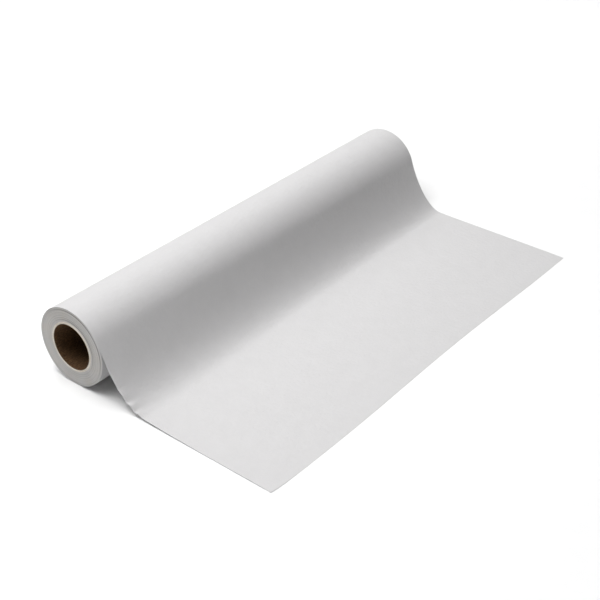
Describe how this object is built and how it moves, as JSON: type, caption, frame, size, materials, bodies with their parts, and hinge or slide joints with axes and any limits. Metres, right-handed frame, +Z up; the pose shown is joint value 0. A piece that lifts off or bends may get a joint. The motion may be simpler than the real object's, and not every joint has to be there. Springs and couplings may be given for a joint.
{
  "type": "backdrop paper roll",
  "caption": "Seamless backdrop paper wound on a board core, lying on the floor with its loose end drawn down off the roll and out flat.",
  "frame": {"origin": "on the floor, under the middle of the whole outline", "axes": "+X along the roll's axis; the sheet is pulled out towards -Y; +Z up"},
  "size_m": [0.61, 0.345, 0.1],
  "materials": {
    "core_inner_ply": "matte brown kraft liner",
    "core_board": "matte spiral-wound solid paperboard, off-white",
    "core_tape": "cream crepe masking tape",
    "paper": "matte uncoated backdrop paper, very light neutral grey"
  },
  "bodies": {
    "paper_web": {"outer_turn": "paper", "free_sheet": "paper"},
    "roll": {"core_inner_ply": "core_inner_ply", "core_board": "core_board", "core_tape_1": "core_tape", "core_tape_2": "core_tape", "core_tape_3": "core_tape", "wound_paper": "paper"},
    "sheet_end": {"leading_edge": "paper"}
  },
  "joints": [
    {"name": "roll_turn", "type": "hinge", "parent": "paper_web", "child": "roll", "pos_m": [0, 0.1225, 0.05], "axis": [1, 0, 0], "range_deg": [-103, 1145]},
    {"name": "sheet_pull", "type": "slide", "parent": "paper_web", "child": "sheet_end", "axis": [0, -1, 0], "range_m": [-0.09, 1], "deforming": ["free_sheet"]}
  ],
  "couplings": [
    {"joint": "sheet_pull", "follows": "roll_turn", "m_per_rad": 0.05}
  ]
}
